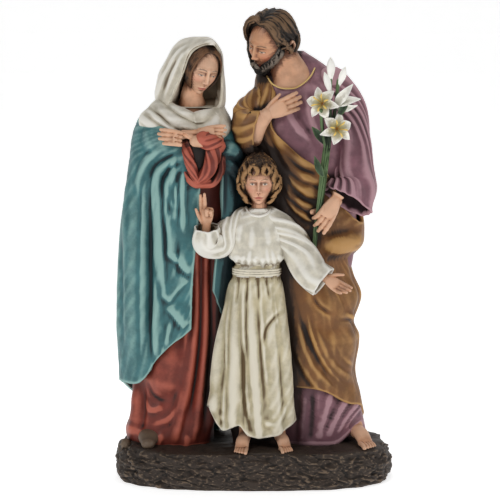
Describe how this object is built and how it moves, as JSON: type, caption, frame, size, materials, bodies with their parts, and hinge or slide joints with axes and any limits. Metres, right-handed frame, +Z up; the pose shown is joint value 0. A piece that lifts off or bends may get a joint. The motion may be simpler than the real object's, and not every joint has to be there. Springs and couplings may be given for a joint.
{
  "type": "religious statue",
  "caption": "Painted cast figure group for a shelf or table: a veiled mother, a father with lilies and a child in front, robed, on a rock base.",
  "frame": {"origin": "centre of the underside's bounding box, on the table", "axes": "+Z up, -Y towards the viewer that the figures face, +X to that viewer's right"},
  "size_m": [0.2176, 0.1076, 0.3618],
  "materials": {
    "painted_casting": "stone-powder resin casting, hand painted satin, darkened in the folds and rubbed lighter on the ridges",
    "painted_lilies": "thin resin casting, painted white petals, yellow stamens and green stems"
  },
  "bodies": {
    "root": {"family_group": "painted_casting", "lily_spray": "painted_lilies"}
  },
  "joints": []
}
